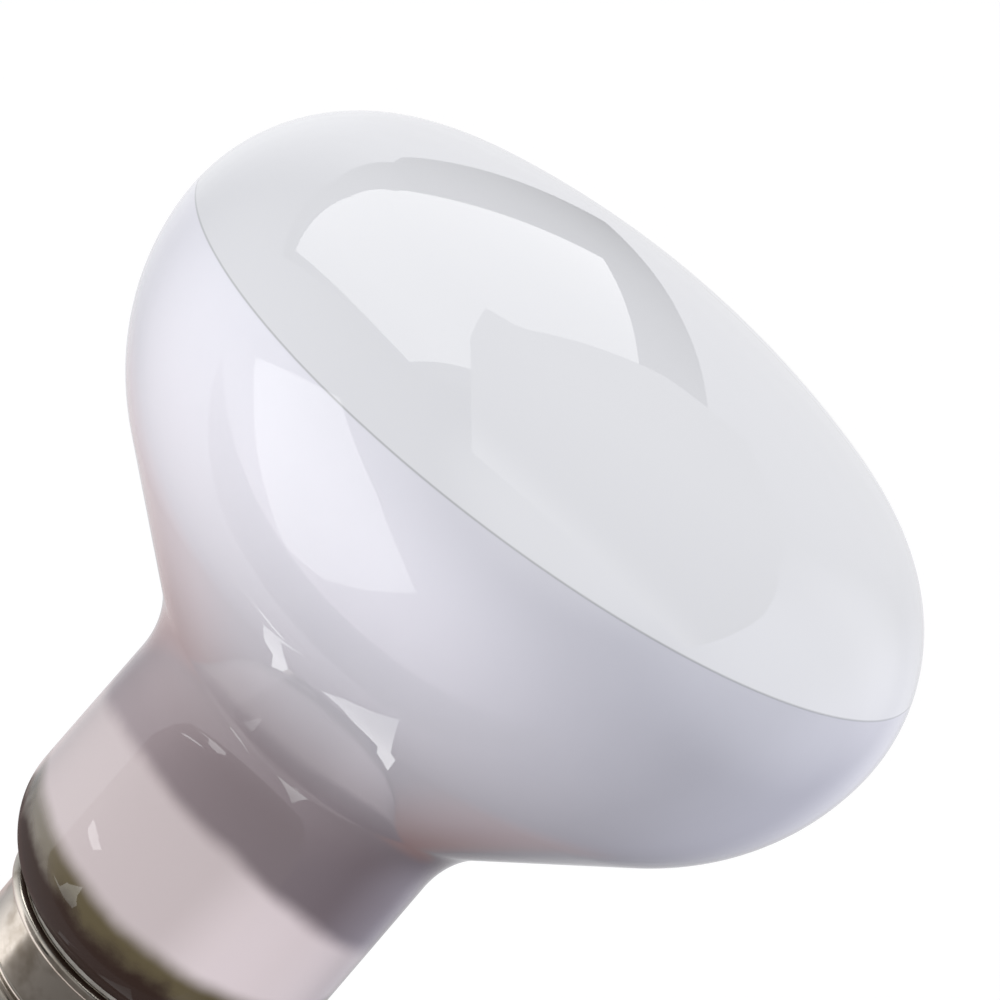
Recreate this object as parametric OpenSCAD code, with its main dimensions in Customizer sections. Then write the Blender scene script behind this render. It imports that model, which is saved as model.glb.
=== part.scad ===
// Halogen basking bulb: a blown reflector lamp cemented in a threaded screw cap.
// The origin is the middle of the centre contact's flat face, and +Z runs up the axis to the lamp's face.

/* [Glass head] */
// Height of the face's apex above the contact
bulb_h = 110; // [107:0.5:120]
// Diameter across the widest part of the head
head_d = 80; // [75:0.5:90]
// Drop from the apex to the widest plane
widest_drop = 20.5; // [19:0.25:24]
// Radius of the shoulder between the domed face and the side
shoulder_r = 17; // [14:0.25:18.5]
// Radius of the bowl below the widest plane
bowl_r = 23; // [20:0.5:26]
// Slope of the flare that runs from the bowl to the neck, measured from the axis
flare_angle = 44; // [40:0.5:50]

/* [Neck and foot] */
// Radius of the hollow waist between the flare and the neck
waist_r = 14; // [9:0.5:18]
// Neck diameter where the foot's shoulder begins
neck_d = 36; // [34:0.25:38]
// How far the neck widens towards the foot, measured from the axis
neck_flare = 1.5; // [0:0.25:3]
// Radius of the shoulder that turns the neck in to the cap
foot_r = 8.5; // [8:0.25:9]
// Diameter of the sealed tail inside the cap
tail_d = 21; // [20:0.25:21.5]
// Rounding at the tail's lower edge
tail_round_r = 4; // [2:0.5:5]
// Height of the tail's closed end above the contact
tail_z = 12.6; // [12:0.1:14]
// Diameter of the pinched exhaust tip
tip_d = 4; // [3:0.25:5]
// Length of the pinched exhaust tip
tip_len = 3.4; // [2:0.1:4]

/* [Cap shell] */
// Height of the rim's top above the contact
cap_h = 27; // [26.5:0.1:28]
// Diameter across the rolled rim
rim_d = 28.6; // [28.2:0.1:29.4]
// How far the rolled rim stands out past the plain skirt
rim_step = 1.225; // [1:0.025:1.6]
// Thickness of the rolled rim
rim_roll_d = 1.5; // [1.2:0.1:1.7]
// Thickness of the sheet
shell_wall = 0.35; // [0.25:0.05:0.45]
// Diameter over the thread's crests
thread_d = 26.15; // [26:0.05:26.4]
// Diameter at the thread's roots
thread_root_d = 24.36; // [24.2:0.02:24.8]
// Advance of the thread in one turn
thread_pitch = 3.63; // [3.55:0.01:3.8]
// Radius of the thread's rounded crests and roots
thread_round_r = 1.025; // [0.9:0.005:1.04]
// Length over which the thread rises from the plain sheet
thread_runout = 1.6; // [1:0.1:2.4]
// Height of the plain skirt between the thread and the rim's top
skirt_h = 6.6; // [6:0.1:8]
// Height of the shell's lower edge above the contact
shell_z = 5.2; // [4.6:0.1:5.8]
// Rounding where the sheet turns in at the bottom
shell_corner_r = 1.4; // [1:0.1:1.8]
// Width of the lip turned in at the bottom
lip_w = 2.8; // [2.4:0.1:3.4]

/* [Insulator] */
// Diameter of the insulator round the contact
insulator_tip_d = 11.6; // [11.2:0.1:13]
// Diameter of the insulator under the shell's edge
insulator_d = 22.2; // [21:0.1:23]
// Height of the land round the contact
insulator_land_h = 0.6; // [0.3:0.1:1]
// Height of the edge that shows below the shell
insulator_edge_h = 0.7; // [0.4:0.1:1]
// Height of the collar inside the shell, above the lip
collar_h = 2.4; // [1.5:0.1:2.8]

/* [Contact and solder] */
// Diameter of the contact's flange
contact_d = 9.8; // [9:0.1:10.6]
// Thickness of the contact's flange
contact_t = 0.5; // [0.4:0.05:0.7]
// Outside diameter of the contact's tube
eyelet_d = 3.8; // [3.4:0.1:4.4]
// Wall of the contact's tube
eyelet_wall = 0.45; // [0.3:0.05:0.6]
// Length of the contact's tube above the flange
eyelet_h = 4.2; // [3:0.1:5]
// Diameter of the dish in the contact's face
dish_d = 5.4; // [4.8:0.1:6]
// Depth of the solder's surface below the contact's face
solder_recess = 0.12; // [0.05:0.01:0.2]
// Height of the solder inside the tube
solder_h = 3.2; // [2:0.1:4]
// Diameter of the solder nub on the rim
nub_d = 2.2; // [1.8:0.1:2.6]

/* [Leads and cement] */
// Diameter of both lead wires
lead_d = 0.4; // [0.3:0.02:0.42]
// Distance from the axis at which the leads leave the glass
lead_exit_r = 4.2; // [3.6:0.1:5]
// Bearing of the side lead and its solder, counted from +X
side_bearing = 90; // [0:5:355]
// Height of the cement's lower edge above the contact
cement_z = 17.2; // [16.8:0.1:18]

/* [Clearances] */
// Gap between the glass and the rolled rim
rim_gap = 0.46; // [0.44:0.01:0.6]
// Least room for cement between the glass and the plain skirt
cement_room = 2.2; // [1.6:0.05:2.6]
// Gap between the shell and what it holds
fit_gap = 0.05; // [0.04:0.01:0.08]
// Gap left at a bonded or soldered face
bond_gap = 0.02; // [0.01:0.005:0.03]

/* [Hidden] */

head_r = head_d / 2;
tail_r = tail_d / 2;
lead_r = lead_d / 2;
eyelet_r = eyelet_d / 2;
eyelet_bore_r = eyelet_r - eyelet_wall;
dish_r = dish_d / 2;

// The rolled rim's section is a circle, and the foot's shoulder stands rim_gap clear of it
roll_r = rim_roll_d / 2;
roll_c = [rim_d / 2 - roll_r, cap_h - roll_r];
foot_c_r = neck_d / 2 - foot_r * cos(neck_flare);
foot_reach = foot_r + rim_gap + roll_r;
foot_c = [foot_c_r, roll_c[1] + sqrt(foot_reach * foot_reach - (roll_c[0] - foot_c_r) * (roll_c[0] - foot_c_r))];

// The shell's sheet
crest_r = thread_d / 2;
root_r = thread_root_d / 2;
lip_r = root_r - lip_w;
thread_z0 = shell_z + shell_corner_r;
thread_z1 = cap_h - skirt_h;
skirt_r = rim_d / 2 - rim_step;
skirt_bore_r = skirt_r - shell_wall;

// The glass narrows at a shoulder inside the thread where the skirt is too tight for the whole tail
throat_r = min(tail_r, skirt_bore_r - cement_room);
narrowed = throat_r < tail_r;
shoulder_z = thread_z1 - thread_runout;
shoulder_h = thread_runout / 2;

// Steps that set how finely the curves are drawn
head_step = 2;
bend_step = 6;
roll_step = 26;
round_step = 15;
thread_sides = 54;
outer_rows_per_turn = 9;
inner_rows_per_turn = 6;
wire_sides = 8;
revolve_steps = 96;

// Points along an arc, without its first point
function arc(c, r, from, to, step) =
    let (n = ceil(abs(to - from) / step))
    [for (i = [1:n]) c + r * [cos(from + (to - from) * i / n), sin(from + (to - from) * i / n)]];

// Where the line from p along u meets the line from q along v
function meet(p, u, q, v) =
    p + u * ((q[0] - p[0]) * v[1] - (q[1] - p[1]) * v[0]) / (u[0] * v[1] - u[1] * v[0]);

function smooth(t) = let (s = max(0, min(1, t))) s * s * (3 - 2 * s);

// Half outline of the glass, from the apex down to the exhaust tip
function glass_outline() =
    let (
        // The face's dome is tangent inside the shoulder's circle
        reach = head_r - shoulder_r,
        dome_r = (reach * reach / (widest_drop - shoulder_r) + shoulder_r + widest_drop) / 2,
        dome_end = atan2(dome_r - widest_drop, reach),
        widest_z = bulb_h - widest_drop,
        bowl_c = [head_r - bowl_r, widest_z],
        bowl_end = bowl_c + bowl_r * [cos(flare_angle), -sin(flare_angle)],
        down_flare = [-sin(flare_angle), -cos(flare_angle)],
        down_neck = [sin(neck_flare), -cos(neck_flare)],
        neck_end = foot_c + foot_r * [cos(neck_flare), sin(neck_flare)],
        corner = meet(bowl_end, down_flare, neck_end, down_neck),
        waist_len = waist_r * tan((flare_angle + neck_flare) / 2),
        waist_start = corner - down_flare * waist_len,
        waist_c = waist_start + waist_r * [cos(flare_angle), -sin(flare_angle)],
        foot_turn = acos((throat_r - foot_c[0]) / foot_r),
        tip_z = tail_z - tip_len,
        tip_r = tip_d / 2
    )
    concat(
        [[0, bulb_h]],
        arc([0, bulb_h - dome_r], dome_r, 90, dome_end, head_step),
        arc([reach, widest_z], shoulder_r, dome_end, 0, bend_step),
        arc(bowl_c, bowl_r, 0, -flare_angle, bend_step),
        [waist_start],
        arc(waist_c, waist_r, 180 - flare_angle, 180 + neck_flare, bend_step),
        [neck_end],
        arc(foot_c, foot_r, neck_flare, -foot_turn, bend_step),
        narrowed ? [[throat_r, shoulder_z], [tail_r, shoulder_z - shoulder_h]] : [],
        [[tail_r, tail_z + tail_round_r]],
        arc([tail_r - tail_round_r, tail_z + tail_round_r], tail_round_r, 0, -90, round_step),
        [[tip_r + 0.4, tail_z], [tip_r, tail_z - 0.4], [tip_r, tip_z + tip_len / 2]],
        [[tip_r / 3, tip_z + 0.2], [0, tip_z]]
    );

module glass_bulb() {
    color("gainsboro")
    rotate_extrude($fn = revolve_steps)
        polygon(glass_outline());
}

// Radius of the rounded thread at a height above the nearest crest: crest arc, straight flank, root arc
function knuckle_r(rise) =
    let (
        half = thread_pitch / 2,
        turns = rise / thread_pitch,
        d = min(turns - floor(turns), ceil(turns) - turns) * thread_pitch,
        lift = 2 * thread_round_r - (crest_r - root_r),
        flank = asin(2 * thread_round_r / norm([half, lift])) - atan2(lift, half),
        arc_w = thread_round_r * sin(flank),
        e = half - d
    )
    d <= arc_w ? crest_r - thread_round_r + sqrt(thread_round_r * thread_round_r - d * d) :
    e <= arc_w ? root_r + thread_round_r - sqrt(thread_round_r * thread_round_r - e * e) :
    crest_r - thread_round_r * (1 - cos(flank)) - (d - arc_w) * tan(flank);

// Outside radius of the sheet at a height and a bearing: the thread runs out into plain sheet at both ends
function sheet_r(z, bearing) =
    let (
        plain = z < (thread_z0 + thread_z1) / 2 ? root_r : skirt_r,
        share = smooth((z - thread_z0) / thread_runout) * smooth((thread_z1 - z) / thread_runout)
    )
    plain * (1 - share) + knuckle_r(z - thread_pitch * bearing / 360) * share;

function ring(r, z) = [for (i = [0:thread_sides - 1])
    let (a = 360 * i / thread_sides) [r * cos(a), r * sin(a), z]];

// Rings up the threaded length, set in from the outside by inset
function thread_rings(rows, inset) = [for (k = [0:rows])
    let (z = thread_z0 + (thread_z1 - thread_z0) * k / rows)
    [for (i = [0:thread_sides - 1])
        let (a = 360 * i / thread_sides, r = sheet_r(z, a) - inset) [r * cos(a), r * sin(a), z]]];

function reversed(list) = [for (i = [len(list) - 1:-1:0]) list[i]];

module cap_shell() {
    turns = (thread_z1 - thread_z0) / thread_pitch;
    corner_c = [root_r - shell_corner_r, thread_z0];
    inner_corner_r = shell_corner_r - shell_wall;
    outer_corner = arc(corner_c, shell_corner_r, -90, 0, round_step * 1.5);
    inner_corner = arc(corner_c, inner_corner_r, 0, -90, round_step * 1.5);
    roll_start = -acos((skirt_r - roll_c[0]) / roll_r);
    roll = arc(roll_c, roll_r, roll_start, 180, roll_step);
    rings = concat(
        [ring(lip_r, shell_z), ring(corner_c[0], shell_z)],
        [for (i = [0:len(outer_corner) - 2]) ring(outer_corner[i][0], outer_corner[i][1])],
        thread_rings(ceil(turns * outer_rows_per_turn), 0),
        [ring(skirt_r, roll_c[1] + roll_r * sin(roll_start))],
        [for (p = roll) ring(p[0], p[1])],
        [ring(skirt_bore_r, roll_c[1] - roll_r / 2)],
        reversed(thread_rings(ceil(turns * inner_rows_per_turn), shell_wall)),
        [for (p = inner_corner) ring(p[0], p[1])],
        [ring(lip_r, shell_z + shell_wall)]
    );
    color("silver")
    polyhedron([for (r = rings) each r], ring_faces(len(rings), thread_sides, true), convexity = 12);
}

// Triangles between neighbouring rings, closed round on themselves or with a flat cap at each end
function ring_faces(rows, sides, looped) = concat(
    [for (j = [0:rows - (looped ? 1 : 2)], i = [0:sides - 1])
        let (k = (i + 1) % sides, a = j * sides, b = ((j + 1) % rows) * sides)
        each [[a + i, b + i, b + k], [a + i, b + k, a + k]]],
    looped ? [] : [[for (i = [0:sides - 1]) i], [for (i = [sides - 1:-1:0]) (rows - 1) * sides + i]]
);

module cap_insulator() {
    tip_r = insulator_tip_d / 2;
    edge_r = insulator_d / 2;
    bore_r = eyelet_r + fit_gap;
    groove_r = lip_r - fit_gap;
    lip_low = shell_z - fit_gap;
    lip_top = shell_z + shell_wall + fit_gap;
    collar_r = root_r - shell_corner_r - fit_gap;
    bevel = collar_h / 4;
    color("#1c1b1a")
    rotate_extrude($fn = revolve_steps)
        polygon([
            [bore_r, contact_t], [tip_r, contact_t], [tip_r, contact_t + insulator_land_h],
            [edge_r, lip_low - insulator_edge_h], [edge_r, lip_low], [groove_r, lip_low],
            [groove_r, lip_top], [collar_r, lip_top], [collar_r, lip_top + collar_h - bevel],
            [collar_r - bevel, lip_top + collar_h], [bore_r, lip_top + collar_h]
        ]);
}

module centre_contact() {
    color("#c8a45a")
    rotate_extrude($fn = revolve_steps)
        polygon([
            [dish_r, 0], [contact_d / 2, 0], [contact_d / 2, contact_t], [eyelet_r, contact_t],
            [eyelet_r, contact_t + eyelet_h], [eyelet_bore_r, contact_t + eyelet_h], [eyelet_bore_r, contact_t]
        ]);
}

module centre_solder() {
    // Radius of the dish's slope at the edge of the solder
    edge_z = solder_recess * 1.5;
    edge_r = dish_r - (dish_r - eyelet_bore_r) * edge_z / contact_t - bond_gap;
    side_r = eyelet_bore_r - bond_gap;
    hole_r = lead_r + bond_gap;
    top_z = contact_t + solder_h;
    color("lightgray")
    rotate_extrude($fn = revolve_steps)
        polygon([
            [0, solder_recess], [edge_r * 0.8, solder_recess], [edge_r, edge_z], [side_r, contact_t],
            [side_r, top_z], [hole_r, top_z], [hole_r, contact_t - bond_gap], [0, contact_t - bond_gap]
        ]);
}

// The side lead squeezes out between the glass and the rolled rim, square to the line between their centres
squeeze_dir = (foot_c - roll_c) / norm(foot_c - roll_c);
squeeze_p = roll_c + squeeze_dir * (roll_r + rim_gap / 2);
out_dir = [squeeze_dir[1], -squeeze_dir[0]];
nub_c = squeeze_p + out_dir * (nub_d / 2 + bond_gap);

module side_solder() {
    color("lightgray")
    rotate([0, 0, side_bearing])
        difference() {
            translate([nub_c[0], 0, nub_c[1]])
                sphere(d = nub_d, $fn = 48);
            rotate_extrude($fn = revolve_steps)
                translate(roll_c)
                    circle(r = roll_r + bond_gap, $fn = 48);
            rotate_extrude($fn = revolve_steps)
                translate(foot_c)
                    circle(r = foot_r + bond_gap, $fn = 96);
            translate([squeeze_p[0], 0, squeeze_p[1]])
                rotate([0, 90 - atan2(out_dir[1], out_dir[0]), 0])
                    translate([0, 0, -nub_d])
                        cylinder(r = lead_r + bond_gap, h = nub_d + side_lead_end + bond_gap, $fn = 32);
        }
}

module basing_cement() {
    inner_r = throat_r + bond_gap;
    thread_side_r = root_r - shell_wall - fit_gap;
    skirt_side_r = skirt_bore_r - fit_gap;
    cone_h = skirt_side_r - thread_side_r;
    cone = cone_h > 0 ? [[skirt_side_r, thread_z1 + cone_h], [thread_side_r, thread_z1]] :
        [[skirt_side_r, shoulder_z], [thread_side_r, shoulder_z - shoulder_h]];
    meet_angle = atan2(roll_c[1] - foot_c[1], roll_c[0] - foot_c[0]);
    foot_turn = acos((inner_r - foot_c[0]) / (foot_r + bond_gap));
    slot_w = lead_d + 4 * fit_gap;
    color("darkgray")
    difference() {
        rotate_extrude($fn = revolve_steps)
            polygon(concat(
                [[tail_r + bond_gap, cement_z]],
                narrowed ? [[tail_r + bond_gap, shoulder_z - shoulder_h], [inner_r, shoulder_z]] : [],
                [[inner_r, foot_c[1] - (foot_r + bond_gap) * sin(foot_turn)]],
                arc(foot_c, foot_r + bond_gap, -foot_turn, meet_angle, bend_step),
                [roll_c + (roll_r + fit_gap) * [cos(meet_angle + 180), sin(meet_angle + 180)]],
                arc(roll_c, roll_r + fit_gap, meet_angle + 180, 165, roll_step),
                [[skirt_side_r, roll_c[1]]],
                cone,
                [[thread_side_r, cement_z]]
            ));
        // The slot that the side lead runs up
        rotate([0, 0, side_bearing])
            translate([throat_r - 1, -slot_w / 2, cement_z - 1])
                cube([max(rim_d / 2, crest_r) - throat_r + 1, slot_w, cap_h - cement_z + 2]);
    }
}

// A round wire along a route in the X-Z plane
module wire(route) {
    last = len(route) - 1;
    rings = [for (i = [0:last])
        let (
            ahead = route[min(i + 1, last)] - route[max(i - 1, 0)],
            across = [ahead[1], -ahead[0]] / norm(ahead)
        )
        [for (k = [0:wire_sides - 1])
            let (a = 360 * k / wire_sides, s = lead_r * cos(a))
            [route[i][0] + across[0] * s, lead_r * sin(a), route[i][1] + across[1] * s]]];
    polyhedron([for (r = rings) each r], ring_faces(last + 1, wire_sides, false), convexity = 6);
}

// Both leads start against the closed end of the glass
lead_top = tail_z - bond_gap;
side_lead_end = nub_d * 0.3;

module centre_lead() {
    low_z = lead_top - 1.2;
    bend_z = shell_z + collar_h;
    color("gray")
    rotate([0, 0, side_bearing + 180])
        wire([
            [lead_exit_r, lead_top], [lead_exit_r, low_z], [lead_exit_r * 0.9, low_z - 0.7],
            [lead_exit_r * 0.6, low_z - 1.8], [lead_exit_r * 0.25, bend_z + 0.6], [lead_exit_r * 0.06, bend_z - 0.4],
            [0, bend_z - 1.2], [0, contact_t]
        ]);
}

module side_lead() {
    // Middle of the room between the glass tail and the thread's roots
    rise_r = (tail_r + root_r - shell_wall) / 2;
    sweep_z = lead_top - 1.7;
    spread = rise_r - lead_exit_r;
    above_z = foot_c[1] - foot_r - rim_gap;
    turn_r = squeeze_p[0] - out_dir[0] - 0.1;
    lean = turn_r - rise_r;
    skirt_mid_r = (throat_r + skirt_bore_r) / 2;
    through_skirt = narrowed ?
        [[rise_r, shoulder_z - 1], [skirt_mid_r, shoulder_z + 0.4], [skirt_mid_r, thread_z1 + 4]] :
        [[rise_r, thread_z1 + 0.6], [rise_r + lean * 0.31, thread_z1 + 2], [rise_r + lean * 0.82, thread_z1 + 4]];
    color("gray")
    rotate([0, 0, side_bearing])
        wire(concat(
            [[lead_exit_r, lead_top], [lead_exit_r, sweep_z + 0.9], [lead_exit_r + 0.4, sweep_z + 0.3]],
            [[lead_exit_r + 1.2, sweep_z], [lead_exit_r + spread * 0.7, sweep_z]],
            [[rise_r - 0.8, sweep_z + 0.3], [rise_r - 0.2, sweep_z + 1.1], [rise_r, sweep_z + 2.2]],
            through_skirt,
            [[turn_r, above_z], squeeze_p - out_dir * 0.8, squeeze_p, squeeze_p + out_dir * side_lead_end]
        ));
}

glass_bulb();
cap_shell();
cap_insulator();
centre_contact();
centre_solder();
side_solder();
basing_cement();
centre_lead();
side_lead();
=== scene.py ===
"""Halogen basking bulb: a mirrored reflector lamp in a threaded screw cap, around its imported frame."""

from __future__ import annotations

import logging
import math
from dataclasses import dataclass, field
from enum import Enum

import bpy
from mathutils import Matrix, Vector

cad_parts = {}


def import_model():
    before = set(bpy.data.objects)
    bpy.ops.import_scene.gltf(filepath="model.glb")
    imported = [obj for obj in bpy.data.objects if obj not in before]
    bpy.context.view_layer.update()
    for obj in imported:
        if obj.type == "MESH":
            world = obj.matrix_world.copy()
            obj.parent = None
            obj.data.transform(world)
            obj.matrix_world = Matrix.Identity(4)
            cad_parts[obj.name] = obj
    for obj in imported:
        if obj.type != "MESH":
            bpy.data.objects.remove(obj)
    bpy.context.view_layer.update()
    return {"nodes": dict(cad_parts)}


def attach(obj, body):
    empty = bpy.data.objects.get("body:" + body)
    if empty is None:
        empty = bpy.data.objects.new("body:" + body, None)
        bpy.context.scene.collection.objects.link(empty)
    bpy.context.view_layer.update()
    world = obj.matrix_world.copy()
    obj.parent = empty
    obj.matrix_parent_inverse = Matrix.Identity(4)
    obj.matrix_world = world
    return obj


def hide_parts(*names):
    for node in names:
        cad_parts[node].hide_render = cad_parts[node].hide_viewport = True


MM = 0.001
WELD = 0.002 * MM

logging.basicConfig(level=logging.INFO, format="%(name)s: %(message)s")
LOG = logging.getLogger("basking_bulb")

Point = tuple[float, float]
Colour = tuple[float, float, float]


class Slot(Enum):
    """Names of the record's material slots."""

    GLASS = "mirrored_glass"
    SHELL = "nickel_shell"
    INSULATOR = "black_insulator"
    CONTACT = "contact_brass"
    SOLDER = "solder"
    CEMENT = "cement"
    LEAD = "lead_wire"


class Nodes:
    """A short hand for building one shader tree."""

    def __init__(self, tree: bpy.types.NodeTree) -> None:
        """Empties the tree.

        Args:
            tree: the material's or the world's node tree.
        """
        self.tree = tree
        tree.nodes.clear()

    def add(self, kind: str, settings: dict | None = None, **inputs: object) -> bpy.types.Node:
        """Adds a node, with each input set to a value or linked to a socket.

        Args:
            kind: the node's type without the words ShaderNode.
            settings: the node's own properties by name.
            inputs: the inputs by name, with _ for a space, or in0, in1 and so on by place.

        Returns:
            The new node.
        """
        node = self.tree.nodes.new("ShaderNode" + kind)
        for name, value in (settings or {}).items():
            setattr(node, name, value)
        for name, value in inputs.items():
            by_place = name.startswith("in") and name[2:].isdigit()
            socket = node.inputs[int(name[2:]) if by_place else name.replace("_", " ")]
            if isinstance(value, bpy.types.NodeSocket):
                self.tree.links.new(value, socket)
            elif isinstance(value, tuple) and len(value) == 3 and socket.type == "RGBA":
                socket.default_value = (*value, 1.0)
            else:
                socket.default_value = value
        return node

    def math(self, operation: str, *values: object, clamp: bool = False) -> bpy.types.NodeSocket:
        """Adds a Math node.

        Args:
            operation: the Math node's operation.
            values: numbers or sockets.
            clamp: True to keep the result from 0 to 1.

        Returns:
            The result's socket.
        """
        inputs = {f"in{place}": value for place, value in enumerate(values)}
        return self.add("Math", {"operation": operation, "use_clamp": clamp}, **inputs).outputs[0]

    def ramp(self, value: bpy.types.NodeSocket, low: float, high: float) -> bpy.types.NodeSocket:
        """Turns a value into a smooth step from 0 at low to 1 at high.

        Args:
            value: the socket to read.
            low: where the step starts.
            high: where the step ends.

        Returns:
            The step's socket.
        """
        settings = {"interpolation_type": "SMOOTHSTEP"}
        step = self.add("MapRange", settings, Value=value, From_Min=low, From_Max=high)
        return step.outputs["Result"]

    def mix(self, share: object, first: object, second: object) -> bpy.types.NodeSocket:
        """Mixes two colours.

        Args:
            share: how much of the second colour, as a number or a socket.
            first: a colour or a socket.
            second: a colour or a socket.

        Returns:
            The mixed colour's socket.
        """
        node = self.add("Mix", {"data_type": "RGBA"}, in0=share, in6=first, in7=second)
        return node.outputs[2]

    def blend(self, share: object, first: object, second: object) -> bpy.types.NodeSocket:
        """Mixes two numbers, as mix does for colours.

        Args:
            share: how much of the second number, as a number or a socket.
            first: a number or a socket.
            second: a number or a socket.

        Returns:
            The mixed number's socket.
        """
        return self.add("Mix", {"data_type": "FLOAT"}, in0=share, in2=first, in3=second).outputs[0]

    def noise(self, place: bpy.types.NodeSocket, per_metre: float, detail: float = 3.0,
              rough: float = 0.5) -> bpy.types.NodeSocket:
        """Adds a noise pattern.

        Args:
            place: the coordinates that it follows.
            per_metre: how many cells to a metre.
            detail: how many finer layers it has.
            rough: how strong the finer layers are.

        Returns:
            The noise's value, from 0 to 1.
        """
        settings = {"noise_dimensions": "3D"}
        node = self.add("TexNoise", settings, Vector=place, Scale=per_metre, Detail=detail, Roughness=rough)
        return node.outputs["Fac"]


def fresh_material(name: str) -> tuple[bpy.types.Material, Nodes]:
    """Makes an empty material.

    Args:
        name: the material's name.

    Returns:
        The material and its nodes.
    """
    material = bpy.data.materials.new(name)
    material.use_nodes = True
    return material, Nodes(material.node_tree)


def dress(piece: bpy.types.Object, material: bpy.types.Material) -> None:
    """Gives a piece one material all over.

    Args:
        piece: the object to dress.
        material: its material.
    """
    piece.data.materials.clear()
    piece.data.materials.append(material)


class Turning:
    """A piece turned on the Z axis: its half outline is drawn in the X-Z plane, then spun."""

    def __init__(self, name: str, start: Point) -> None:
        """Starts the outline as one vertex.

        Args:
            name: the piece's name.
            start: radius and height of the first point, in millimetres.
        """
        bpy.ops.object.select_all(action="DESELECT")
        bpy.ops.mesh.primitive_plane_add(size=1, enter_editmode=True)
        self.piece = bpy.context.object
        self.piece.name = name
        bpy.ops.mesh.select_mode(type="VERT")
        bpy.ops.mesh.select_all(action="SELECT")
        bpy.ops.mesh.merge(type="CENTER")
        bpy.ops.transform.translate(value=(start[0] * MM, 0, start[1] * MM))
        self.pen = start

    def line(self, *points: Point, cuts: int = 1) -> Turning:
        """Draws straight on to each point in turn.

        Args:
            points: radius and height of each point, in millimetres.
            cuts: how many equal edges each stretch has.

        Returns:
            The turning itself.
        """
        for point in points:
            step = Vector(((point[0] - self.pen[0]) * MM, 0, (point[1] - self.pen[1]) * MM)) / cuts
            for _ in range(cuts):
                bpy.ops.mesh.extrude_region_move(TRANSFORM_OT_translate={"value": step})
            self.pen = point
        return self

    def arc(self, centre: Point, turn: float, steps: int) -> Turning:
        """Draws an arc about a centre.

        Args:
            centre: radius and height of the centre, in millimetres.
            turn: degrees, positive from +X towards +Z.
            steps: how many edges the arc has.

        Returns:
            The turning itself.
        """
        hub = (centre[0] * MM, 0, centre[1] * MM)
        bpy.ops.mesh.spin(steps=steps, angle=math.radians(turn), center=hub, axis=(0, 1, 0))
        c, s = math.cos(math.radians(turn)), math.sin(math.radians(turn))
        x, z = self.pen[0] - centre[0], self.pen[1] - centre[1]
        self.pen = (centre[0] + x * c - z * s, centre[1] + x * s + z * c)
        return self

    def turned(self, steps: int, sharp: float = 40) -> bpy.types.Object:
        """Spins the outline into a solid of revolution.

        Args:
            steps: how many steps go round.
            sharp: the angle in degrees from which an edge stays sharp.

        Returns:
            The finished piece.
        """
        bpy.ops.mesh.select_all(action="SELECT")
        bpy.ops.mesh.spin(steps=steps, angle=math.tau, center=(0, 0, 0), axis=(0, 0, 1))
        bpy.ops.mesh.select_all(action="SELECT")
        bpy.ops.mesh.remove_doubles(threshold=WELD)
        bpy.ops.mesh.normals_make_consistent(inside=False)
        bpy.ops.object.mode_set(mode="OBJECT")
        bpy.ops.object.shade_smooth_by_angle(angle=math.radians(sharp))
        return self.piece


def meeting(p: Vector, u: Vector, q: Vector, v: Vector) -> Vector:
    """Finds where the line from p along u meets the line from q along v, all in the X-Z plane."""
    gap = q - p
    return p + u * ((gap.x * v.y - gap.y * v.x) / (u.x * v.y - u.y * v.x))


def towards(degrees: float) -> Vector:
    """Gives the direction at an angle from +X towards +Z, in the X-Z plane."""
    return Vector((math.cos(math.radians(degrees)), math.sin(math.radians(degrees))))


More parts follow.
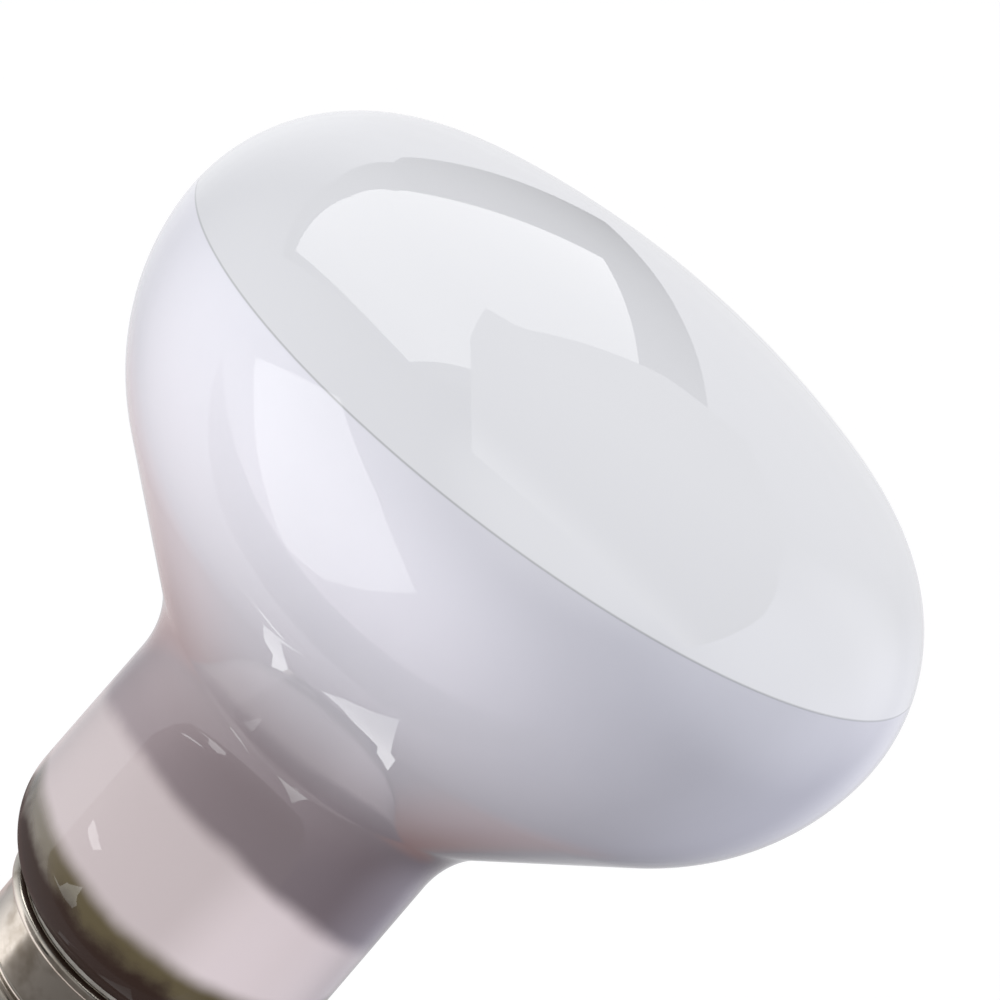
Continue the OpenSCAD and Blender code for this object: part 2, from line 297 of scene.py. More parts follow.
@dataclass(frozen=True)
class MirroredGlass:
    """Clear glossy glass over a satin mirror coat, with a frosted face and a bare strip above the cap."""

    coat: Colour = (0.79, 0.79, 0.84)
    coat_cloud: Colour = (0.76, 0.76, 0.81)
    # painted shade: the dark mauve band on the coated neck
    neck_painted_shade: Colour = (0.325, 0.255, 0.27)
    neck_frost: Colour = (0.675, 0.585, 0.59)
    # painted highlight: a pale streak down one side of the frosted neck
    neck_painted_highlight: Colour = (0.89, 0.78, 0.80)
    frost: Colour = (0.805, 0.812, 0.845)
    edge_line: Colour = (0.30, 0.31, 0.31)
    # painted shade: the dark of the lamp's inside seen through the bare glass, near black low and olive
    # higher up
    bare: Colour = (0.036, 0.014, 0.007)
    bare_shade_olive: Colour = (0.115, 0.088, 0.036)
    edge_height: float = 94.08
    edge_lean: Point = (0.064, -0.041)
    edge_width: float = 0.14
    bare_top: float = 36.6
    bare_feather: float = 1.2
    bare_dull: float = 0.88
    olive_low: float = 32.8
    olive_high: float = 35.4
    coat_low: float = 43.5
    # the coat's edge leans to follow the lower edge of the painted shade band
    shade_edge_rise: float = 0.32
    shade_edge_lean: float = 0.09
    coat_feather: float = 1.3
    mauve_low: float = 54.5
    mauve_high: float = 75.0
    highlight_lean: Point = (0.59, -0.81)
    highlight_low: float = 15.0
    highlight_high: float = 18.2

    def build(self) -> bpy.types.Material:
        """Builds the material.

        Returns:
            The finished material.
        """
        material, nodes = fresh_material("mirrored_glass")
        place = nodes.add("TexCoord").outputs["Object"]
        axes = nodes.add("SeparateXYZ", Vector=place)
        height = nodes.math("MULTIPLY", axes.outputs["Z"], 1 / MM)
        above = self.above_edge(nodes, axes, height)
        face = nodes.ramp(above, -0.04, 0.04)
        on_edge = nodes.math("SUBTRACT", 1.0, nodes.ramp(nodes.math("ABSOLUTE", above), 0.0, self.edge_width))
        cloud = nodes.noise(place, 55, detail=4)
        grain = nodes.noise(place, 2600, detail=2)
        ragged = nodes.math("MULTIPLY_ADD", nodes.noise(place, 120, detail=3), 1.6, -0.8)
        uneven = nodes.math("ADD", height, ragged)
        low, high = self.bare_top - self.bare_feather, self.bare_top + self.bare_feather
        bare = nodes.math("SUBTRACT", 1.0, nodes.ramp(uneven, low, high))
        # The coat's edge is raised towards the front and the left to follow the lower edge of the painted
        # shade band on the neck.
        front = nodes.math("MAXIMUM", nodes.math("MULTIPLY", axes.outputs["Y"], -self.shade_edge_rise / MM), 0.0)
        side = nodes.math("MULTIPLY", axes.outputs["X"], self.shade_edge_lean / MM)
        lowered = nodes.math("SUBTRACT", nodes.math("ADD", uneven, side), front)
        coated = nodes.ramp(lowered, self.coat_low - self.coat_feather, self.coat_low + self.coat_feather)
        # Painted shade: a dark mauve band on the coated neck, darkest low and fading out upwards, stands in
        # for a dark reflection in the satin mirror.
        neck = nodes.math("SUBTRACT", 1.0, nodes.ramp(height, self.mauve_low, self.mauve_high))
        satin = nodes.mix(nodes.ramp(cloud, 0.35, 0.75), self.coat, self.coat_cloud)
        satin = nodes.mix(nodes.math("MULTIPLY", neck, 0.9), satin, self.neck_painted_shade)
        # Painted highlight: the frosted neck turns paler along one side, a streak of light painted into its
        # colour.
        slant = nodes.math("ADD", nodes.math("MULTIPLY", axes.outputs["X"], self.highlight_lean[0] / MM),
                           nodes.math("MULTIPLY", axes.outputs["Y"], self.highlight_lean[1] / MM))
        pale = nodes.mix(nodes.ramp(slant, self.highlight_low, self.highlight_high), self.neck_frost, self.neck_painted_highlight)
        satin = nodes.mix(coated, pale, satin)
        # Painted shade: the bare strip takes the dark of the lamp's shaded inside seen through clear glass,
        # near black towards the rim and olive higher up.
        streaks = nodes.math("MULTIPLY_ADD", nodes.noise(place, 260, detail=4), 4.0, -2.0)
        olive = nodes.ramp(nodes.math("ADD", height, streaks), self.olive_low, self.olive_high)
        bare_painted_shade = nodes.mix(olive, self.bare, self.bare_shade_olive)
        colour = nodes.mix(bare, satin, bare_painted_shade)
        colour = nodes.mix(face, colour, self.frost)
        colour = nodes.mix(nodes.math("MULTIPLY", on_edge, 0.55), colour, self.edge_line)
        mirror = nodes.math("MULTIPLY", nodes.math("SUBTRACT", 1.0, face), coated)
        metal = nodes.math("MULTIPLY", mirror, 0.72)
        rough = nodes.blend(bare, nodes.math("MULTIPLY_ADD", cloud, 0.06, 0.66), 0.12)
        rough = nodes.blend(face, rough, 0.95)
        dull = nodes.math("MULTIPLY", bare, nodes.math("SUBTRACT", 1.0, olive))
        rough = nodes.blend(dull, rough, 0.75)
        gloss = nodes.math("MULTIPLY_ADD", dull, -self.bare_dull, 1.0)
        bump = nodes.add("Bump", Strength=0.06, Distance=0.02 * MM, Height=grain)
        shader = nodes.add("BsdfPrincipled", Base_Color=colour, Metallic=metal, Roughness=rough,
                           Normal=bump.outputs[0], Specular_IOR_Level=0.2, Coat_Weight=gloss,
                           Coat_Roughness=0.0, Coat_IOR=1.5)
        nodes.add("OutputMaterial", Surface=shader.outputs[0])
        return material

    def above_edge(self, nodes: Nodes, axes: bpy.types.Node,
                   height: bpy.types.NodeSocket) -> bpy.types.NodeSocket:
        """Measures how far a point is above the mirror coat's edge, which leans a little.

        Args:
            nodes: the material's nodes.
            axes: the split Object coordinates.
            height: the height in millimetres.

        Returns:
            The distance in millimetres.
        """
        lean_x = nodes.math("MULTIPLY", axes.outputs["X"], self.edge_lean[0] / MM)
        lean_y = nodes.math("MULTIPLY", axes.outputs["Y"], self.edge_lean[1] / MM)
        level = nodes.math("ADD", nodes.math("ADD", lean_x, lean_y), self.edge_height)
        return nodes.math("SUBTRACT", height, level)


@dataclass(frozen=True)
class Metal:
    """A metal finish with fine marks round the axis, darker in patches and towards its hollows."""

    name: str
    colour: Colour
    dark_tone: Colour
    rough: float
    marks: float = 0.25
    hollow: tuple[float, float] | None = None

    def build(self) -> bpy.types.Material:
        """Builds the material.

        Returns:
            The finished material.
        """
        material, nodes = fresh_material(self.name)
        place = nodes.add("TexCoord").outputs["Object"]
        axes = nodes.add("SeparateXYZ", Vector=place)
        reach = nodes.add("VectorMath", {"operation": "LENGTH"},
                          in0=nodes.add("CombineXYZ", X=axes.outputs["X"], Y=axes.outputs["Y"]).outputs[0])
        radius = reach.outputs["Value"]
        turned = nodes.add("CombineXYZ", X=radius, Z=axes.outputs["Z"]).outputs[0]
        lines = nodes.noise(turned, 9000, detail=2)
        smudge = nodes.noise(place, 320, detail=4)
        colour = nodes.mix(nodes.ramp(smudge, 0.42, 0.78), self.colour, self.dark_tone)
        if self.hollow:
            # Darker towards the thread's roots.
            deep = nodes.math("SUBTRACT", 1.0, nodes.ramp(radius, self.hollow[0] * MM, self.hollow[1] * MM))
            colour = nodes.mix(nodes.math("MULTIPLY", deep, 0.45), colour, self.dark_tone)
        rough = nodes.math("MULTIPLY_ADD", smudge, 0.16, self.rough - 0.06)
        bump = nodes.add("Bump", Strength=self.marks, Distance=0.01 * MM, Height=lines)
        shader = nodes.add("BsdfPrincipled", Base_Color=colour, Metallic=1.0, Roughness=rough,
                           Normal=bump.outputs[0])
        nodes.add("OutputMaterial", Surface=shader.outputs[0])
        return material


@dataclass(frozen=True)
class Mineral:
    """A moulded or set finish, such as black glass or baked cement, with a mottled tone."""

    name: str
    colour: Colour
    mottle: Colour
    rough: float
    grain: float
    grain_depth: float

    def build(self) -> bpy.types.Material:
        """Builds the material.

        Returns:
            The finished material.
        """
        material, nodes = fresh_material(self.name)
        place = nodes.add("TexCoord").outputs["Object"]
        mottle = nodes.noise(place, self.grain * 0.4, detail=4)
        grain = nodes.noise(place, self.grain, detail=5, rough=0.6)
        colour = nodes.mix(nodes.ramp(mottle, 0.4, 0.7), self.colour, self.mottle)
        rough = nodes.math("MULTIPLY_ADD", mottle, 0.12, self.rough - 0.04)
        bump = nodes.add("Bump", Strength=0.5, Distance=self.grain_depth * MM, Height=grain)
        shader = nodes.add("BsdfPrincipled", Base_Color=colour, Roughness=rough, Normal=bump.outputs[0])
        nodes.add("OutputMaterial", Surface=shader.outputs[0])
        return material


@dataclass
class GlassBulb:
    """The blown envelope, from its domed face down to its foot and sealed tail, in millimetres."""

    bulb_h: float = 110
    head_d: float = 80
    widest_drop: float = 20.5
    shoulder_r: float = 17
    bowl_r: float = 23
    flare_angle: float = 44
    waist_r: float = 14
    neck_d: float = 36
    neck_flare: float = 1.5
    foot_r: float = 8.5
    tail_d: float = 21
    tail_round_r: float = 4
    tail_z: float = 12.6
    tip_d: float = 4
    tip_len: float = 3.4
    tip_soft: float = 0.4
    rim_gap: float = 0.46
    rim_roll_r: float = 0.75
    rim_roll_centre: Point = (13.55, 26.25)
    finish: MirroredGlass = field(default_factory=MirroredGlass)

    def build(self) -> bpy.types.Object:
        """Turns the envelope and dresses it.

        Returns:
            The finished bulb.
        """
        head_r = self.head_d / 2
        reach = head_r - self.shoulder_r
        drop = self.widest_drop
        dome_r = (reach * reach / (drop - self.shoulder_r) + self.shoulder_r + drop) / 2
        dome_end = math.degrees(math.atan2(dome_r - drop, reach))
        widest_z = self.bulb_h - drop
        foot = self.foot_centre()
        down_flare = towards(-90 - self.flare_angle)
        down_neck = towards(self.neck_flare - 90)
        bowl_end = Vector((head_r - self.bowl_r, widest_z)) + self.bowl_r * towards(-self.flare_angle)
        neck_end = foot + self.foot_r * towards(self.neck_flare)
        corner = meeting(bowl_end, down_flare, neck_end, down_neck)
        bend = self.flare_angle + self.neck_flare
        waist_start = corner - down_flare * (self.waist_r * math.tan(math.radians(bend / 2)))
        waist = waist_start + self.waist_r * towards(-self.flare_angle)
        tail_r = self.tail_d / 2
        foot_turn = math.degrees(math.acos((tail_r - foot.x) / self.foot_r))
        tip_r = self.tip_d / 2
        tip_z = self.tail_z - self.tip_len

        turning = Turning("glass_envelope", (0, self.bulb_h))
        turning.arc((0, self.bulb_h - dome_r), dome_end - 90, 30)
        turning.arc((reach, widest_z), -dome_end, 34)
        turning.arc((head_r - self.bowl_r, widest_z), -self.flare_angle, 26)
        turning.line(tuple(waist_start), cuts=4)
        turning.arc(tuple(waist), bend, 24)
        turning.line(tuple(neck_end), cuts=6)
        turning.arc(tuple(foot), -self.neck_flare - foot_turn, 30)
        turning.line((tail_r, self.tail_z + self.tail_round_r), cuts=3)
        turning.arc((tail_r - self.tail_round_r, self.tail_z + self.tail_round_r), -90, 8)
        turning.line((tip_r + self.tip_soft, self.tail_z), (tip_r, self.tail_z - self.tip_soft))
        turning.line((tip_r, tip_z + self.tip_len / 2), (tip_r / 3, tip_z + self.tip_soft / 2), (0, tip_z))
        bulb = turning.turned(224)
        dress(bulb, self.finish.build())
        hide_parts("glass_bulb")
        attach(bulb, "root")
        return bulb

    def foot_centre(self) -> Vector:
        """Finds the centre of the foot's shoulder, which stands clear of the rolled rim.

        Returns:
            Radius and height, in millimetres.
        """
        x = self.neck_d / 2 - self.foot_r * math.cos(math.radians(self.neck_flare))
        reach = self.foot_r + self.rim_gap + self.rim_roll_r
        side = self.rim_roll_centre[0] - x
        return Vector((x, self.rim_roll_centre[1] + math.sqrt(reach * reach - side * side)))


@dataclass
class ScrewCap:
    """The threaded shell with its rolled rim, the insulator, the contact and the solder, in millimetres."""

    cap_h: float = 27
    rim_d: float = 28.6
    rim_roll_d: float = 1.5
    wall: float = 0.35
    thread_d: float = 26.15
    thread_root_d: float = 24.36
    thread_pitch: float = 3.63
    thread_round_r: float = 1.025
    thread_runout: float = 1.6
    skirt_h: float = 6.6
    shell_z: float = 5.2
    corner_r: float = 1.4
    lip_w: float = 2.8
    insulator_tip_d: float = 11.6
    insulator_d: float = 22.2
    land_h: float = 0.6
    edge_h: float = 0.7
    collar_h: float = 2.4
    contact_d: float = 9.8
    contact_t: float = 0.5
    eyelet_d: float = 3.8
    eyelet_wall: float = 0.45
    eyelet_h: float = 4.2
    dish_d: float = 5.4
    fit_gap: float = 0.05
    rows_per_turn: int = 26
    sides: int = 144

    @property
    def root_r(self) -> float:
        """Radius of the sheet at the thread's roots."""
        return self.thread_root_d / 2

    @property
    def crest_r(self) -> float:
        """Radius of the sheet at the thread's crests and on the plain skirt."""
        return self.thread_d / 2

    @property
    def thread_low(self) -> float:
        """Height at which the thread starts."""
        return self.shell_z + self.corner_r

    @property
    def thread_high(self) -> float:
        """Height at which the thread ends in the plain skirt."""
        return self.cap_h - self.skirt_h

    def shell(self) -> bpy.types.Object:
        """Turns the sheet metal shell and presses its thread.

        Returns:
            The finished shell.
        """
        roll_r = self.rim_roll_d / 2
        roll = (self.rim_d / 2 - roll_r, self.cap_h - roll_r)
        start = -math.degrees(math.acos((self.crest_r - roll[0]) / roll_r))
        corner_x = self.root_r - self.corner_r
        lip_r = self.root_r - self.lip_w
        rows = round((self.thread_high - self.thread_low) / self.thread_pitch * self.rows_per_turn)
        turning = Turning("screw_shell", (lip_r, self.shell_z))
        turning.line((corner_x, self.shell_z), cuts=2)
        turning.arc((corner_x, self.thread_low), 90, 8)
        turning.line((self.root_r, self.thread_high), cuts=rows)
        turning.line((self.crest_r, self.thread_high + 0.01))
        turning.line((self.crest_r, roll[1] + roll_r * math.sin(math.radians(start))), cuts=3)
        turning.arc(roll, 180 - start, 18)
        turning.line((self.crest_r - self.wall, roll[1] - roll_r / 2))
        turning.line((self.crest_r - self.wall, self.thread_high + 0.01), cuts=2)
        turning.line((self.root_r - self.wall, self.thread_high))
        turning.line((self.root_r - self.wall, self.thread_low), cuts=rows)
        turning.arc((corner_x, self.thread_low), -90, 6)
        turning.line((lip_r, self.shell_z + self.wall), (lip_r, self.shell_z))
        shell = turning.turned(self.sides, sharp=50)
        self.press_thread(shell)
        finish = Metal("nickel_plate", (0.60, 0.56, 0.49), (0.34, 0.30, 0.24), 0.17,
                       hollow=(self.root_r + 0.1, self.crest_r - 0.2))
        dress(shell, finish.build())
        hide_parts("cap_shell")
        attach(shell, "root")
        return shell

    def press_thread(self, shell: bpy.types.Object) -> None:
        """Moves the sheet's points out to the right-hand knuckle thread.

        Args:
            shell: the plain turned shell.
        """
        for vertex in shell.data.vertices:
            height = vertex.co.z / MM
            if self.thread_low < height < self.thread_high:
                radius = math.hypot(vertex.co.x, vertex.co.y) / MM
                bearing = math.atan2(vertex.co.y, vertex.co.x)
                factor = 1 + (self.sheet_r(height, bearing) - self.root_r) / radius
                vertex.co.x *= factor
                vertex.co.y *= factor
        shell.data.update()

    def sheet_r(self, height: float, bearing: float) -> float:
        """Gives the sheet's outside radius, with the thread run out into plain sheet at both ends.

        Args:
            height: height above the contact.
            bearing: angle round the axis, in radians.

        Returns:
            The radius in millimetres.
        """
        low = (height - self.thread_low) / self.thread_runout
        high = (self.thread_high - height) / self.thread_runout
        share = 1.0
        for step in (low, high):
            step = min(max(step, 0.0), 1.0)
            share *= step * step * (3 - 2 * step)
        plain = self.root_r if low < high else self.crest_r
        return plain * (1 - share) + self.knuckle_r(height - self.thread_pitch * bearing / math.tau) * share

    def knuckle_r(self, rise: float) -> float:
        """Gives the thread's radius: crest arc, straight flank, root arc.

        Args:
            rise: height above any crest.

        Returns:
            The radius in millimetres.
        """
        half = self.thread_pitch / 2
        depth = self.crest_r - self.root_r
        bend = self.thread_round_r
        from_crest = abs((rise + half) % self.thread_pitch - half)
        from_root = half - from_crest
        lift = 2 * bend - depth
        flank = math.asin(2 * bend / math.hypot(half, lift)) - math.atan2(lift, half)
        width = bend * math.sin(flank)
        if from_crest <= width:
            return self.crest_r - bend + math.sqrt(bend * bend - from_crest * from_crest)
        if from_root <= width:
            return self.root_r + bend - math.sqrt(bend * bend - from_root * from_root)
        return self.crest_r - bend * (1 - math.cos(flank)) - (from_crest - width) * math.tan(flank)

    def insulator(self) -> bpy.types.Object:
        """Turns the black glass insulator.

        Returns:
            The finished insulator.
        """
        tip_r, edge_r = self.insulator_tip_d / 2, self.insulator_d / 2
        bore_r = self.eyelet_d / 2 + self.fit_gap
        groove_r = self.root_r - self.lip_w - self.fit_gap
        low, top = self.shell_z - self.fit_gap, self.shell_z + self.wall + self.fit_gap
        collar_r = self.root_r - self.corner_r - self.fit_gap
        land_z = self.contact_t + self.land_h
        bevel = self.collar_h / 4
        soft = 0.35
        turning = Turning("insulator_glass", (bore_r, self.contact_t))
        turning.line((tip_r - soft, self.contact_t), cuts=2)
        turning.arc((tip_r - soft, self.contact_t + soft), 90, 5)
        turning.line((tip_r, land_z - 0.08), (tip_r + 0.12, land_z), (tip_r + 0.5, land_z + 0.16))
        turning.line((edge_r - 0.5, low - self.edge_h - 0.16), cuts=3)
        turning.line((edge_r - 0.14, low - self.edge_h + 0.04), (edge_r, low - self.edge_h + 0.25))
        turning.line((edge_r, low), (groove_r, low), (groove_r, top), (collar_r, top))
        turning.line((collar_r, top + self.collar_h - bevel), (collar_r - bevel, top + self.collar_h))
        turning.line((bore_r, top + self.collar_h), (bore_r, self.contact_t))
        piece = turning.turned(128)
        finish = Mineral("black_glass", (0.012, 0.012, 0.013), (0.020, 0.019, 0.018), 0.09, 900, 0.008)
        dress(piece, finish.build())
        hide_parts("cap_insulator")
        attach(piece, "root")
        return piece

    def contact(self) -> bpy.types.Object:
        """Turns the stamped centre contact.

        Returns:
            The finished contact.
        """
        eyelet_r, flange_r, t = self.eyelet_d / 2, self.contact_d / 2, self.contact_t
        bore_r, edge = eyelet_r - self.eyelet_wall, 0.16
        turning = Turning("contact_eyelet", (self.dish_d / 2, 0))
        turning.line((flange_r - edge, 0), cuts=3)
        turning.arc((flange_r - edge, edge), 90, 5)
        turning.line((flange_r, t), (eyelet_r, t), (eyelet_r, t + self.eyelet_h), (bore_r, t + self.eyelet_h))
        turning.line((bore_r, t), (self.dish_d / 2, 0))
        piece = turning.turned(128)
        dress(piece, Metal("contact_brass", (0.74, 0.57, 0.30), (0.50, 0.38, 0.20), 0.24).build())
        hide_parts("centre_contact")
        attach(piece, "root")
        return piece

    def keep_small_pieces(self, nodes: dict[str, bpy.types.Object]) -> None:
        """Gives the solder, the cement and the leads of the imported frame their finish.

        Args:
            nodes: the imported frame's nodes by name.
        """
        solder = Metal("tin_solder", (0.66, 0.66, 0.67), (0.40, 0.40, 0.41), 0.38, marks=0.05).build()
        wire = Metal("nickel_wire", (0.62, 0.61, 0.58), (0.45, 0.44, 0.42), 0.30, marks=0.1).build()
        cement = Mineral("basing_cement", (0.60, 0.57, 0.52), (0.48, 0.45, 0.40), 0.85, 2200, 0.05).build()
        finishes = {"centre_solder": solder, "side_solder": solder, "centre_lead": wire, "side_lead": wire,
                    "basing_cement": cement}
        for name, finish in finishes.items():
            dress(nodes[name], finish)


@dataclass(frozen=True)
class Card:
    """A flat card or softbox of the studio, cut to a shape, that only what shines can see.

    A satin finish sees soft times its strength, and clear gloss sees all of it.
    """

    name: str
    azimuth: float
    elevation: float
    distance: float
    corners: tuple[Point, ...]
    strength: float
    colour: Colour = (1.0, 1.0, 1.0)
    fade_from: Point = (0, 0)
    fade_to: Point = (0, 0)
    faded: float = 0
    soft: float = 1.0

    def place(self, middle: Vector) -> bpy.types.Object:
        """Cuts the card and stands it square to its line from the middle of the bulb.

        Args:
            middle: the middle of the bulb, in metres.

        Returns:
            The card.
        """
        bpy.ops.object.select_all(action="DESELECT")
        bpy.ops.mesh.primitive_plane_add(size=1, enter_editmode=True)
        card = bpy.context.object
        card.name = self.name
        bpy.ops.mesh.select_mode(type="VERT")
        bpy.ops.mesh.select_all(action="SELECT")
        bpy.ops.mesh.merge(type="CENTER")
        bpy.ops.transform.translate(value=(self.corners[0][0] * MM, self.corners[0][1] * MM, 0))
        for before, after in zip(self.corners, self.corners[1:]):
            step = ((after[0] - before[0]) * MM, (after[1] - before[1]) * MM, 0)
            bpy.ops.mesh.extrude_region_move(TRANSFORM_OT_translate={"value": step})
        bpy.ops.mesh.select_all(action="SELECT")
        bpy.ops.mesh.edge_face_add()
        bpy.ops.object.mode_set(mode="OBJECT")
        turn, rise = math.radians(self.azimuth), math.radians(self.elevation)
        out = Vector((math.cos(rise) * math.cos(turn), math.cos(rise) * math.sin(turn), math.sin(rise)))
        across = Vector((-math.sin(turn), math.cos(turn), 0))
        axes = Matrix((across, out.cross(across), out)).transposed().to_4x4()
        card.matrix_world = Matrix.Translation(middle + out * self.distance * MM) @ axes
        dress(card, self.light())
        card.visible_camera = False
        card.visible_shadow = False
        card.visible_diffuse = False
        return card

    def light(self) -> bpy.types.Material:
        """Builds the card's light, which may fade from one point of the card to another.

        Returns:
            The finished material.
        """
        material, nodes = fresh_material(self.name)
        strength: object = self.strength
        way = Vector(self.fade_to) - Vector(self.fade_from)
        if way.length > 0:
            place = nodes.add("TexCoord").outputs["Object"]
            along = nodes.add("VectorMath", {"operation": "DOT_PRODUCT"}, in0=place,
                              in1=(way.x / way.length, way.y / way.length, 0.0)).outputs["Value"]
            begin = Vector(self.fade_from).dot(way) / way.length * MM
            fade = nodes.ramp(along, begin, begin + way.length * MM)
            strength = nodes.blend(fade, self.strength, self.faded)
        if self.soft < 1:
            crisp = nodes.add("LightPath").outputs["Is Singular Ray"]
            strength = nodes.math("MULTIPLY", strength, nodes.blend(crisp, self.soft, 1.0))
        light = nodes.add("Emission", Color=self.colour, Strength=strength)
        nodes.add("OutputMaterial", Surface=light.outputs[0])
        return material


@dataclass(frozen=True)
class Glow:
    """A bright part of the surroundings, spread about one direction, that only what shines can see.

    A crisp one is seen by clear gloss alone.
    """

    aim: tuple[float, float, float]
    low: float
    high: float
    tone: Colour
    crisp: bool = False


@dataclass
class Studio:
    """The white studio: floor, world, softboxes, cards and the camera at the photograph's angle."""

    middle: Vector = field(default_factory=lambda: Vector((0, 0, 85)) * MM)
    floor_z: float = -300
    floor_paint: Colour = (0.93, 0.93, 0.93)
    floor_glow: float = 0.155
    eye: tuple[float, float, float] = (0, -227.67, 162.55)
    right: tuple[float, float, float] = (0.7568, 0.2139, 0.6177)
    down: tuple[float, float, float] = (0.6536, -0.2422, -0.7170)
    lens: float = 95.4
    sensor: float = 36
    fill_light: Colour = (0.98, 0.98, 0.98)
    fill_dark: Colour = (0.69, 0.69, 0.72)
    fill_aim: tuple[float, float, float] = (0.55, 0.25, -0.80)
    around: Colour = (0.02, 0.02, 0.03)
    glows: tuple[Glow, ...] = (
        Glow((0.05, 0.98, 0.17), 0.50, 0.95, (0.84, 0.84, 0.85)),
        Glow((-0.90, 0.25, -0.35), 0.30, 1.00, (0.58, 0.59, 0.61)),
        Glow((-0.35, -0.30, -0.89), 0.30, 1.00, (0.46, 0.38, 0.375)),
        Glow((0.10, -0.75, -0.65), 0.40, 1.00, (0.47, 0.46, 0.51)),
        Glow((0.80, 0.52, -0.22), 0.75, 1.00, (0.54, 0.55, 0.66)),
        Glow((0.85, -0.25, 0.45), 0.62, 1.00, (0.41, 0.43, 0.51)),
        Glow((-0.66, -0.66, -0.36), 0.10, 1.00, (0.85, 0.85, 0.86)),
        Glow((-0.23, 0.70, -0.68), 0.94, 1.00, (0.22, 0.08, 0.05)),
        Glow((0.24, 0.60, -0.77), 0.975, 1.00, (0.22, 0.08, 0.04)),
        Glow((0.23, -0.70, 0.68), 0.80, 1.00, (1.50, 1.50, 1.50), crisp=True),
        Glow((0.85, 0.15, 0.45), 0.60, 1.00, (1.40, 1.40, 1.45), crisp=True),
    )

    def build(self) -> None:
        """Builds the whole studio."""
        self.camera()
        self.world()
        self.floor()
        for card in self.cards():
            card.place(self.middle)
        self.lamp("key_lamp", (-336, 268, 659), (-0.409, 0.565, 0.716), 0.9, 0.15)
        view = bpy.context.scene.view_settings
        view.view_transform = "Standard"

    def camera(self) -> None:
        """Sets the camera where the photograph was taken from."""
        bpy.ops.object.select_all(action="DESELECT")
        bpy.ops.object.camera_add()
        camera = bpy.context.object
        right, up = Vector(self.right).normalized(), -Vector(self.down).normalized()
        back = right.cross(up).normalized()
        turn = Matrix((right, back.cross(right), back)).transposed().to_4x4()
        camera.matrix_world = Matrix.Translation(Vector(self.eye) * MM) @ turn
        camera.data.lens = self.lens
        camera.data.sensor_width = self.sensor
        camera.data.clip_start = 0.01
        bpy.context.scene.camera = camera

    def world(self) -> None:
        """Builds the world: white behind the bulb, an even fill, and softer tones for what shines."""
        world = bpy.data.worlds.new("white_studio")
        bpy.context.scene.world = world
        world.use_nodes = True
        nodes = Nodes(world.node_tree)
        path = nodes.add("LightPath")
        way = nodes.add("TexCoord").outputs["Generated"]
        shine: object = self.around
        for glow in self.glows:
            share = nodes.ramp(self.along(nodes, way, glow.aim), glow.low, glow.high)
            if glow.crisp:
                share = nodes.math("MULTIPLY", share, path.outputs["Is Singular Ray"])
            shine = nodes.add("Mix", {"data_type": "RGBA", "blend_type": "ADD"}, in0=share, in6=shine,
                              in7=glow.tone).outputs[2]
        lean = nodes.math("MULTIPLY_ADD", self.along(nodes, way, self.fill_aim), 0.5, 0.5)
        fill = nodes.mix(lean, self.fill_light, self.fill_dark)
        seen = nodes.math("MAXIMUM", path.outputs["Is Glossy Ray"], path.outputs["Is Transmission Ray"])
        tone = nodes.mix(seen, fill, shine)
        tone = nodes.mix(path.outputs["Is Camera Ray"], tone, (1.0, 1.0, 1.0))
        light = nodes.add("Background", Color=tone, Strength=1.0)
        nodes.add("OutputWorld", Surface=light.outputs[0])

    def along(self, nodes: Nodes, way: bpy.types.NodeSocket,
              aim: tuple[float, float, float]) -> bpy.types.NodeSocket:
        """Tells how nearly a direction of the world points along an aim.

        Args:
            nodes: the world's nodes.
            way: the direction's socket.
            aim: the aim, of any length.

        Returns:
            The cosine's socket.
        """
        unit = tuple(Vector(aim).normalized())
        return nodes.add("VectorMath", {"operation": "DOT_PRODUCT"}, in0=way, in1=unit).outputs["Value"]

    def floor(self) -> None:
        """Lays the pale floor."""
        bpy.ops.object.select_all(action="DESELECT")
        bpy.ops.mesh.primitive_plane_add(size=30, location=(0, 0, self.floor_z * MM))
        floor = bpy.context.object
        floor.name = "pale_floor"
        material, nodes = fresh_material("pale_floor")
        path = nodes.add("LightPath")
        paint = nodes.add("BsdfDiffuse", Color=self.floor_paint)
        glow = nodes.add("Emission", Color=(1.0, 1.0, 1.0), Strength=self.floor_glow)
        both = nodes.add("AddShader", in0=paint.outputs[0], in1=glow.outputs[0])
        shader = nodes.add("MixShader", in0=path.outputs["Is Camera Ray"], in1=paint.outputs[0],
                           in2=both.outputs[0])
        nodes.add("OutputMaterial", Surface=shader.outputs[0])
        dress(floor, material)
        floor.visible_diffuse = False
        floor.visible_glossy = False
        floor.visible_transmission = False

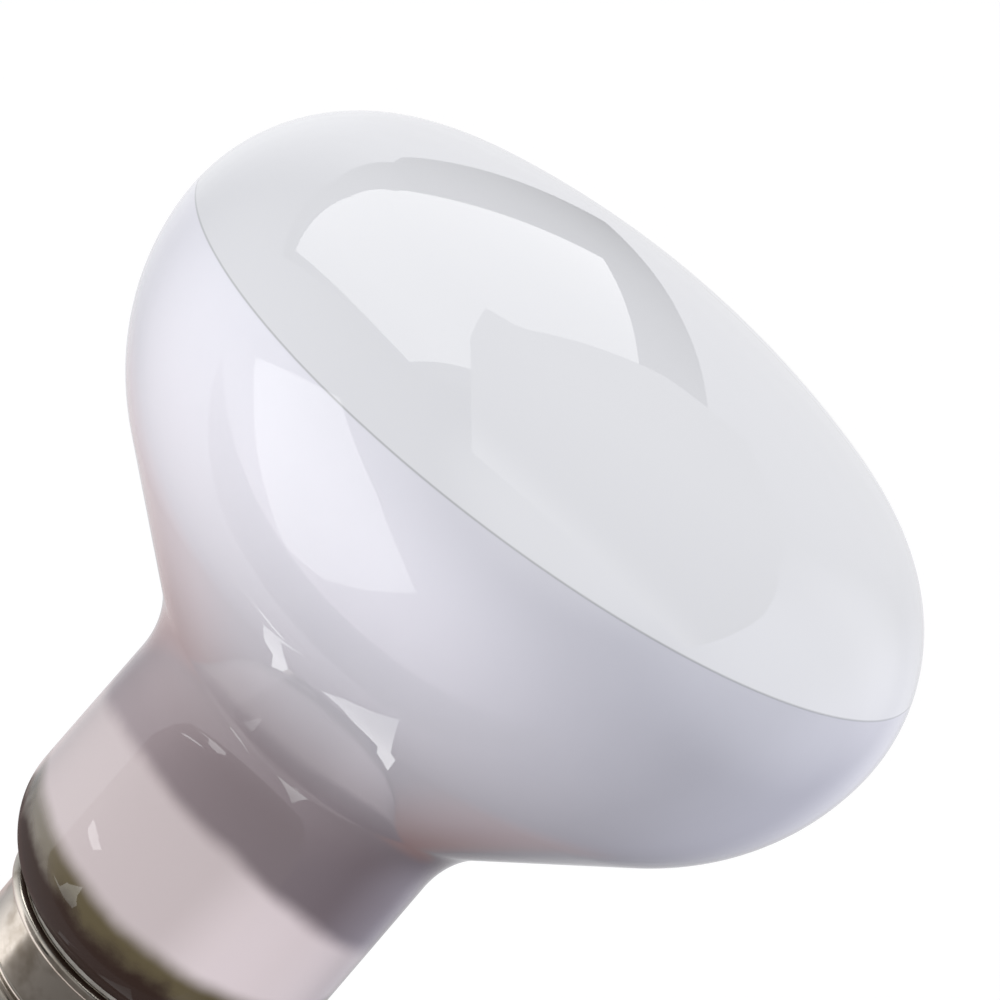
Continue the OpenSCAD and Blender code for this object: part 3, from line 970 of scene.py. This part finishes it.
    def cards(self) -> list[Card]:
        """Lists the softboxes and cards that the glass mirrors.

        Returns:
            The cards.
        """
        top = ((640, -160), (140, -135), (-70, -155), (-400, -270), (-290, 430), (770, 600))
        ring = ((760, -240), (140, -220), (-160, -280), (-560, -590), (-510, -260), (-480, 0),
                (-400, 560), (800, 760))
        over = ((355, -50), (235, 215), (40, 515), (-235, 910), (-1130, -15), (-390, -225),
                (-80, -290), (300, -490), (345, -370))
        left = ((-350, 160), (-45, 490), (275, 220), (540, -145), (330, -295), (160, -390),
                (10, -385), (-75, -230), (-245, 15))
        low_left = ((-76, -90), (-42, -40), (-58, -78), (-36, -158), (-48, -165), (-62, -148))
        low_right = ((-14, -103), (2, -54), (47, 13), (47, -142), (54, -172), (40, -162), (4, -101))
        drop_high = ((-30, -57.5), (-28.5, -58), (-18, -55), (-15.5, -53.5), (-20.5, -54.5), (-26, -56))
        drop_low = ((-30, -71), (-21, -67.5), (-17.5, -60), (-12, -57), (-10.5, -61.5), (-12, -66),
                    (-18, -69))
        flag = ((-150, -44), (75, -44), (75, -235), (-150, -235))
        return [
            Card("top_softbox", 126, 46, 700, top, 2.6, fade_from=(450, 0), fade_to=(-350, 0), faded=1.5),
            Card("softbox_frame", 126, 46, 720, ring, 0.2),
            Card("overhead_card", 53, 75.5, 600, over, 1.9, fade_from=(-235, 910), fade_to=(60, 560),
                 faded=0.75),
            Card("neck_flag", -97, 0, 64, flag, 1.1, (1.0, 0.94, 0.94), fade_from=(-130, 0),
                 fade_to=(0, 0), faded=0.55, soft=0.35),
            Card("drop_high", -100, 0, 30, drop_high, 4.0, soft=0),
            Card("drop_low", -100, 0, 30, drop_low, 3.2, soft=0),
            Card("low_slot_left", -90, -80, 300, low_left, 2.2, soft=0.2),
            Card("low_slot_right", -90, -80, 300, low_right, 2.2, soft=0.2),
            Card("left_softbox", -135, -21, 700, left, 3.2, soft=0.5),
        ]

    def lamp(self, name: str, place: tuple[float, float, float], back: tuple[float, float, float],
             size: float, watts: float) -> None:
        """Hangs a soft lamp that lights the object and can't be seen.

        Args:
            name: the lamp's name.
            place: its place in millimetres.
            back: the direction that its back faces.
            size: its side in metres.
            watts: its power.
        """
        bpy.ops.object.select_all(action="DESELECT")
        bpy.ops.object.light_add(type="AREA")
        lamp = bpy.context.object
        lamp.name = name
        lamp.data.size = size
        lamp.data.energy = watts
        turn = Vector(back).to_track_quat("Z", "Y").to_matrix().to_4x4()
        lamp.matrix_world = Matrix.Translation(Vector(place) * MM) @ turn
        lamp.visible_camera = False
        lamp.visible_glossy = False


def main() -> None:
    """Builds the studio, the bulb and its cap, and reports each piece."""
    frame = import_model()
    Studio().build()
    cap = ScrewCap()
    pieces = [GlassBulb().build(), cap.shell(), cap.insulator(), cap.contact()]
    cap.keep_small_pieces(frame["nodes"])
    for piece in pieces:
        LOG.info("%s: %d faces", piece.name, len(piece.data.polygons))


if __name__ == "__main__":
    main()
